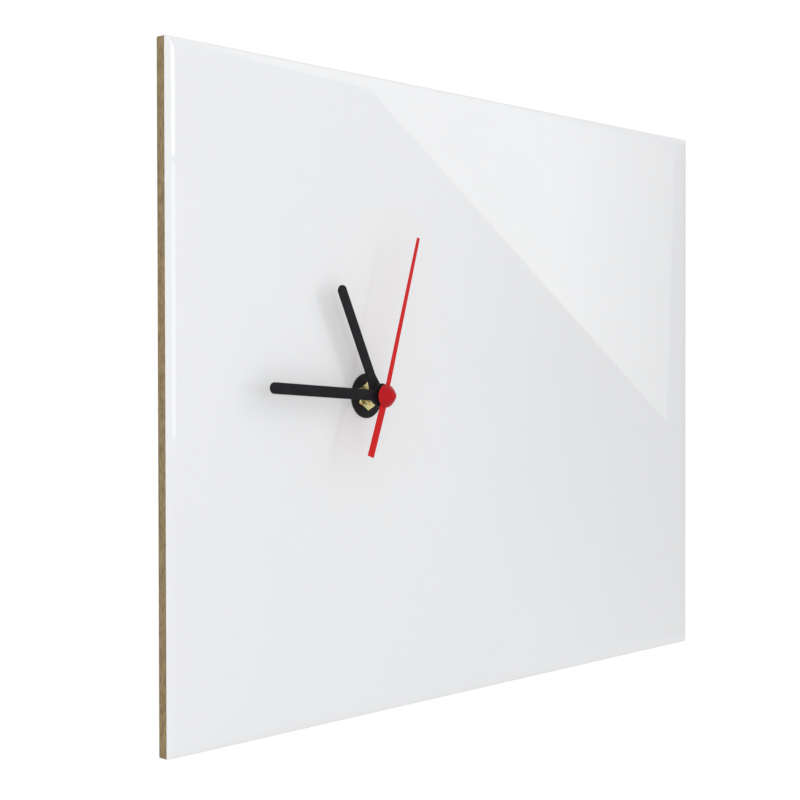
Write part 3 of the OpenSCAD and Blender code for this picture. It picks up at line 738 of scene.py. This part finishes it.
# %% Coat, board, brass
white = make("gloss_white", (0.865, 0.868, 0.873), (0.85, 0.853, 0.858), 0.35, spread=0.03,
             coat=1.0, shine=0.0, scale=9.0, contrast=0.8, texture_scale=55.0, depth=0.012,
             dusty=0.0, rubbed=0.0)
fibre = make("mdf", (0.36, 0.265, 0.135), (0.20, 0.135, 0.06), 0.82, scale=260.0, contrast=1.6,
             stretch=(1, 4, 1), texture_scale=1500.0, depth=0.7, cells=0.5,
             rubbed=0.25, rub_tone=(0.45, 0.36, 0.22))
tree = fibre.node_tree
shader = tree.nodes["Principled BSDF"]
cut = shader.inputs["Base Color"].links[0].from_socket
depth_in = split(tree, coordinate(tree))["Y"]
skin = use(tree, mottle, Tone_A=rgb(0.33, 0.225, 0.125), Tone_B=rgb(0.26, 0.17, 0.09), Scale=60.0,
           Contrast=0.7)["Color"]
on_back = remap(tree, depth_in, (panel_hi.y - 0.12) / 1000, (panel_hi.y - 0.02) / 1000)
connect(tree, shader.inputs["Base Color"], blend(tree, on_back, cut, skin))
connect(tree, shader.inputs["Roughness"], remap(tree, on_back, 0.0, 1.0, 0.85, 0.5))

brass = make("brass", (0.84, 0.74, 0.34), (0.70, 0.60, 0.24), 0.26, spread=0.08, metallic=1.0,
             scale=300.0, texture_scale=2500.0, depth=0.02, dusty=0.05,
             rubbed=0.3, rub_tone=(0.95, 0.86, 0.55))
tree = brass.node_tree
bump = next(n for n in tree.nodes if n.type == "BUMP")
rings = use(tree, turning, Pitch=0.00016)["Height"]
ringed = new_node(tree, "ShaderNodeBump", Height=rings, Strength=0.12, Distance=0.00005,
                  Normal=bump.outputs[0])
connect(tree, tree.nodes["Principled BSDF"].inputs["Normal"], ringed.outputs[0])

# %% [markdown]
# ### Rubber, plastics, paint and the hidden metals
# The black hands are stamped and stove-coloured, dark with a low sheen. The red pointer is
# painted strip and its hub moulded plastic. The rest sit inside the case or behind the panel,
# and follow the same recipe.

# %% Rubber, hands, case and knob
finishes = {"gloss_white": white, "mdf": fibre, "brass": brass}


def add_finish(name, *tones, **settings):
    finishes[name] = make(name, *tones, **settings)


add_finish("black_rubber", (0.016, 0.016, 0.017), (0.024, 0.023, 0.023), 0.62, shine=0.1,
           scale=200.0, texture_scale=2600.0, depth=0.25, cells=0.4,
           dusty=0.06, rubbed=0.25, rub_tone=(0.04, 0.04, 0.042))
add_finish("hand_black", (0.010, 0.010, 0.012), (0.016, 0.015, 0.018), 0.42, shine=0.08,
           scale=120.0, texture_scale=3000.0, depth=0.10, cells=0.2,
           dusty=0.03, rubbed=0.3, rub_tone=(0.04, 0.04, 0.045))
add_finish("hand_red", (0.66, 0.010, 0.010), (0.58, 0.007, 0.008), 0.38, shine=0.15,
           scale=150.0, texture_scale=1800.0, depth=0.06,
           dusty=0.02, rubbed=0.25, rub_tone=(0.76, 0.05, 0.05))
add_finish("hub_red", (0.54, 0.008, 0.013), (0.46, 0.006, 0.011), 0.36, shine=0.15,
           scale=180.0, texture_scale=2200.0, depth=0.08, cells=0.2,
           dusty=0.02, rub_tone=(0.60, 0.04, 0.05))
add_finish("case_plastic", (0.018, 0.018, 0.020), (0.028, 0.028, 0.030), 0.55, scale=90.0,
           texture_scale=2400.0, depth=0.5, cells=0.6,
           dusty=0.35, rubbed=0.35, rub_tone=(0.07, 0.07, 0.075))
add_finish("knob_plastic", (0.024, 0.024, 0.026), (0.034, 0.034, 0.036), 0.42, scale=160.0,
           texture_scale=1600.0, depth=0.2, dusty=0.2, rubbed=0.5, rub_tone=(0.10, 0.10, 0.10))
print(len(finishes), "finishes so far")

# %% Plated steel, the battery's sleeve, and what is inside the case
add_finish("natural_plastic", (0.70, 0.66, 0.54), (0.60, 0.56, 0.44), 0.45, scale=120.0,
           texture_scale=1500.0, depth=0.1)
add_finish("nickel_steel", (0.62, 0.61, 0.58), (0.50, 0.49, 0.46), 0.28, spread=0.1,
           metallic=1.0, scale=200.0, stretch=(0.2, 1, 1), texture_scale=1800.0, depth=0.08,
           rubbed=0.4)
add_finish("zinc_steel", (0.52, 0.54, 0.58), (0.38, 0.40, 0.44), 0.36, spread=0.12,
           metallic=1.0, scale=180.0, contrast=1.6, texture_scale=1200.0, depth=0.15, cells=0.5,
           dusty=0.2, rubbed=0.5)
add_finish("soft_iron", (0.36, 0.36, 0.37), (0.27, 0.27, 0.28), 0.45, metallic=1.0,
           scale=240.0, dusty=0.05, rubbed=0.4)
add_finish("magnet", (0.10, 0.10, 0.11), (0.14, 0.14, 0.15), 0.55, metallic=0.6,
           scale=500.0, depth=0.3, cells=0.4)
add_finish("copper_wire", (0.62, 0.24, 0.10), (0.48, 0.17, 0.06), 0.3, metallic=0.8, coat=0.4,
           scale=400.0, stretch=(9, 1, 1), depth=0.6)
add_finish("circuit_laminate", (0.02, 0.13, 0.06), (0.03, 0.18, 0.08), 0.35, coat=0.3,
           scale=350.0, contrast=1.6)
add_finish("black_resin", (0.012, 0.012, 0.013), (0.02, 0.02, 0.021), 0.2, coat=0.5,
           scale=200.0, depth=0.1)
add_finish("battery_wrap", (0.018, 0.045, 0.11), (0.014, 0.036, 0.09), 0.25, coat=0.7,
           scale=80.0, texture_scale=400.0, depth=0.06, dusty=0.15)
print(len(finishes), "finishes")

# %% [markdown]
# The battery's sleeve is printed in two colours, a copper band at the positive end and a dark
# blue body. The band is a mask along the battery's length, so it has a crisp, straight edge.

# %% Band on the battery sleeve
tree = finishes["battery_wrap"].node_tree
shader = tree.nodes["Principled BSDF"]
body_tone = shader.inputs["Base Color"].links[0].from_socket
along = split(tree, coordinate(tree))["X"]
band_starts, band_full = 0.0109, 0.0111
band = remap(tree, along, band_starts, band_full)
copper = use(tree, mottle, Tone_A=rgb(0.50, 0.22, 0.09), Tone_B=rgb(0.42, 0.17, 0.07),
             Scale=120.0)["Color"]
connect(tree, shader.inputs["Base Color"], blend(tree, band, body_tone, copper))
connect(tree, shader.inputs["Metallic"], times(tree, band, 0.7))

# %% Give every piece its finish
slots = {part["node"]: part["material_slot"] for part in frame["record"]["subparts"]}
for name, obj in nodes.items():
    obj.data.materials.clear()
    obj.data.materials.append(finishes[slots[name]])
for node, (obj, slot) in finished.items():
    obj.data.materials.append(finishes[slot])
print(len(finished), "pieces replace CAD nodes")

# %% [markdown]
# ## Stage, light and camera
# The clock hangs in the air over a pale round floor, in a white studio.
#
# - A card to the front right is mirrored by the gloss as a slanting line across the face.
# - Two narrow boxes give the near roll of the edge its bright stripe. They show only in
#   reflections, so the black hands have a low sheen to stay black beside them.
# - A large box on the left, without shadows, lifts the face, and a smaller one on the right
#   casts the hands' faint shadows. The gloss mirrors neither.
# - A dark patch of the studio lets the face fall off in tone. It lies in a fixed direction.
#
# To place the card and the narrow boxes, the line of sight is reflected at chosen points of the
# face, so they stay right if the camera is moved.

# %% Floor
bpy.ops.object.select_all(action="DESELECT")
bpy.ops.mesh.primitive_cylinder_add(vertices=128, radius=1.3, depth=0.02,
                                    location=(0.08, 0.0, -0.77))
floor = bpy.context.object
floor.name = "studio_floor"
pale = make("pale_floor", (0.86, 0.86, 0.85), (0.82, 0.82, 0.81), 0.6, scale=6.0,
            texture_scale=300.0, dusty=0.0, rubbed=0.0)
floor.data.materials.append(pale)

# %% Camera
eye_at = Vector((-0.54395, -0.53405, 0.00893))
heading, pitch, roll = radians(47.941), radians(-0.841), radians(-0.08)
sight = Vector((sin(heading) * cos(pitch), cos(heading) * cos(pitch), sin(pitch)))
right = Vector((cos(heading), -sin(heading), 0))
up = right.cross(sight)
turn = Matrix((right, up, -sight)).transposed().to_4x4() @ Matrix.Rotation(roll, 4, "Z")
bpy.ops.object.camera_add()
camera = bpy.context.object
camera.matrix_world = Matrix.Translation(eye_at) @ turn
camera.data.lens, camera.data.sensor_width = 71.71, 36.0
camera.data.clip_start = 0.01
bpy.context.scene.camera = camera

# %% Where the face mirrors the eye to
def mirror_ray(x, z):
    """A point of the face, in millimetres, and the direction it mirrors towards."""
    spot = Vector((x, face, z)) / 1000
    ray = (spot - eye_at).normalized()
    return spot, Vector((ray.x, -ray.y, ray.z))


def mirrored(x, z, far=1.6):
    """The place that a point of the face mirrors, so many metres away."""
    spot, ray = mirror_ray(x, z)
    return spot + far * ray

# %% [markdown]
# The card is a plane whose four corners are put at mirrored points. Its lower left side is the
# line seen on the face. Its brightness fades towards the right with its own UV map.

# %% Card
# The slanting line runs through the first two points, the first of them above the panel's top
corners = [mirrored(*at) for at in ((-60, 183.5), (258, -17.6), (-60, 330), (275, 300))]
bpy.ops.object.select_all(action="DESELECT")
bpy.ops.mesh.primitive_plane_add(size=2)
card = bpy.context.object
card.name = "light_card"
for vertex, corner in zip(card.data.vertices, corners):
    vertex.co = corner
glow = bpy.data.materials.new("card_glow")
glow.use_nodes = True
tree = glow.node_tree
tree.nodes.remove(tree.nodes["Principled BSDF"])
across = split(tree, coordinate(tree, "UV"))["X"]
bright, faint = 1.75, 0.75
fading = remap(tree, across, 0.68, 0.98, bright, faint)
lamp = new_node(tree, "ShaderNodeEmission", Color=rgb(1.0, 1.0, 1.0), Strength=fading)
connect(tree, tree.nodes["Material Output"].inputs["Surface"], lamp.outputs[0])
card.data.materials.append(glow)
print("card corners", [[round(v, 2) for v in corner] for corner in corners])

# %% Soft boxes
def soft_box(name, at, towards, width, height, glow, diffuse=True, glossy=True):
    """glow is the brightness of its surface; the energy follows from the area."""
    bpy.ops.object.light_add(type="AREA", location=at)
    light = bpy.context.object
    light.name = name
    light.data.shape, light.data.size, light.data.size_y = "RECTANGLE", width, height
    light.data.energy = glow * pi * width * height
    light.rotation_euler = (Vector(towards) - Vector(at)).to_track_quat("-Z", "Y").to_euler()
    light.visible_diffuse, light.visible_glossy = diffuse, glossy
    return light


# The near roll mirrors what stands a little to the left of what the flat face mirrors. Two
# narrow boxes, the lower one dimmer, give its stripe, which fades towards the bottom.
spot, ray = mirror_ray(panel_lo.x, 0)
aside = Matrix.Rotation(radians(-6.5), 3, "Z")
beside = spot + 1.5 * (aside @ ray)
soft_box("roll_box_upper", beside + Vector((0, 0, 0.62)), spot, 0.2, 0.6, 3.2, diffuse=False)
soft_box("roll_box_lower", beside + Vector((0, 0, 0.13)), spot, 0.2, 0.37, 1.9, diffuse=False)
fill_box = soft_box("fill_box", (-0.75, -0.75, 0.15), (0, 0, 0), 0.8, 0.8, 1.15, glossy=False)
fill_box.data.use_shadow = False
soft_box("key_box", (1.3, -1.2, 0.9), (0.05, -0.02, 0.0), 0.6, 0.6, 4.4, glossy=False)

# %% [markdown]
# The camera sees a plain white background. Everything else sees a studio that is a little less
# bright, with the dark patch around one direction, 64 degrees from the front to the right.

# %% World
world = bpy.data.worlds.new("studio")
bpy.context.scene.world = world
world.use_nodes = True
tree = world.node_tree
BACKGROUND, STUDIO = 1.03, 0.82
PATCH_AT, PATCH_DARK, PATCH_ENDS = radians(64), radians(4), radians(15)
seen = new_node(tree, "ShaderNodeLightPath").outputs["Is Camera Ray"]
patch_middle = Vector((sin(PATCH_AT), -cos(PATCH_AT), 0.02)).normalized()
nearness = new_node(tree, "ShaderNodeVectorMath", {"operation": "DOT_PRODUCT"})
connect(tree, nearness.inputs[0], coordinate(tree, "Generated"))
connect(tree, nearness.inputs[1], patch_middle)
patch = remap(tree, nearness.outputs["Value"], cos(PATCH_DARK), cos(PATCH_ENDS))
unseen = times(tree, calc(tree, "SUBTRACT", 1.0, seen), times(tree, patch, STUDIO))
strength = calc(tree, "ADD", times(tree, seen, BACKGROUND), unseen)
backdrop = tree.nodes["Background"]
backdrop.inputs["Color"].default_value = rgb(0.985, 0.99, 1.0)
connect(tree, backdrop.inputs["Strength"], strength)

bpy.context.scene.view_settings.view_transform = "Standard"
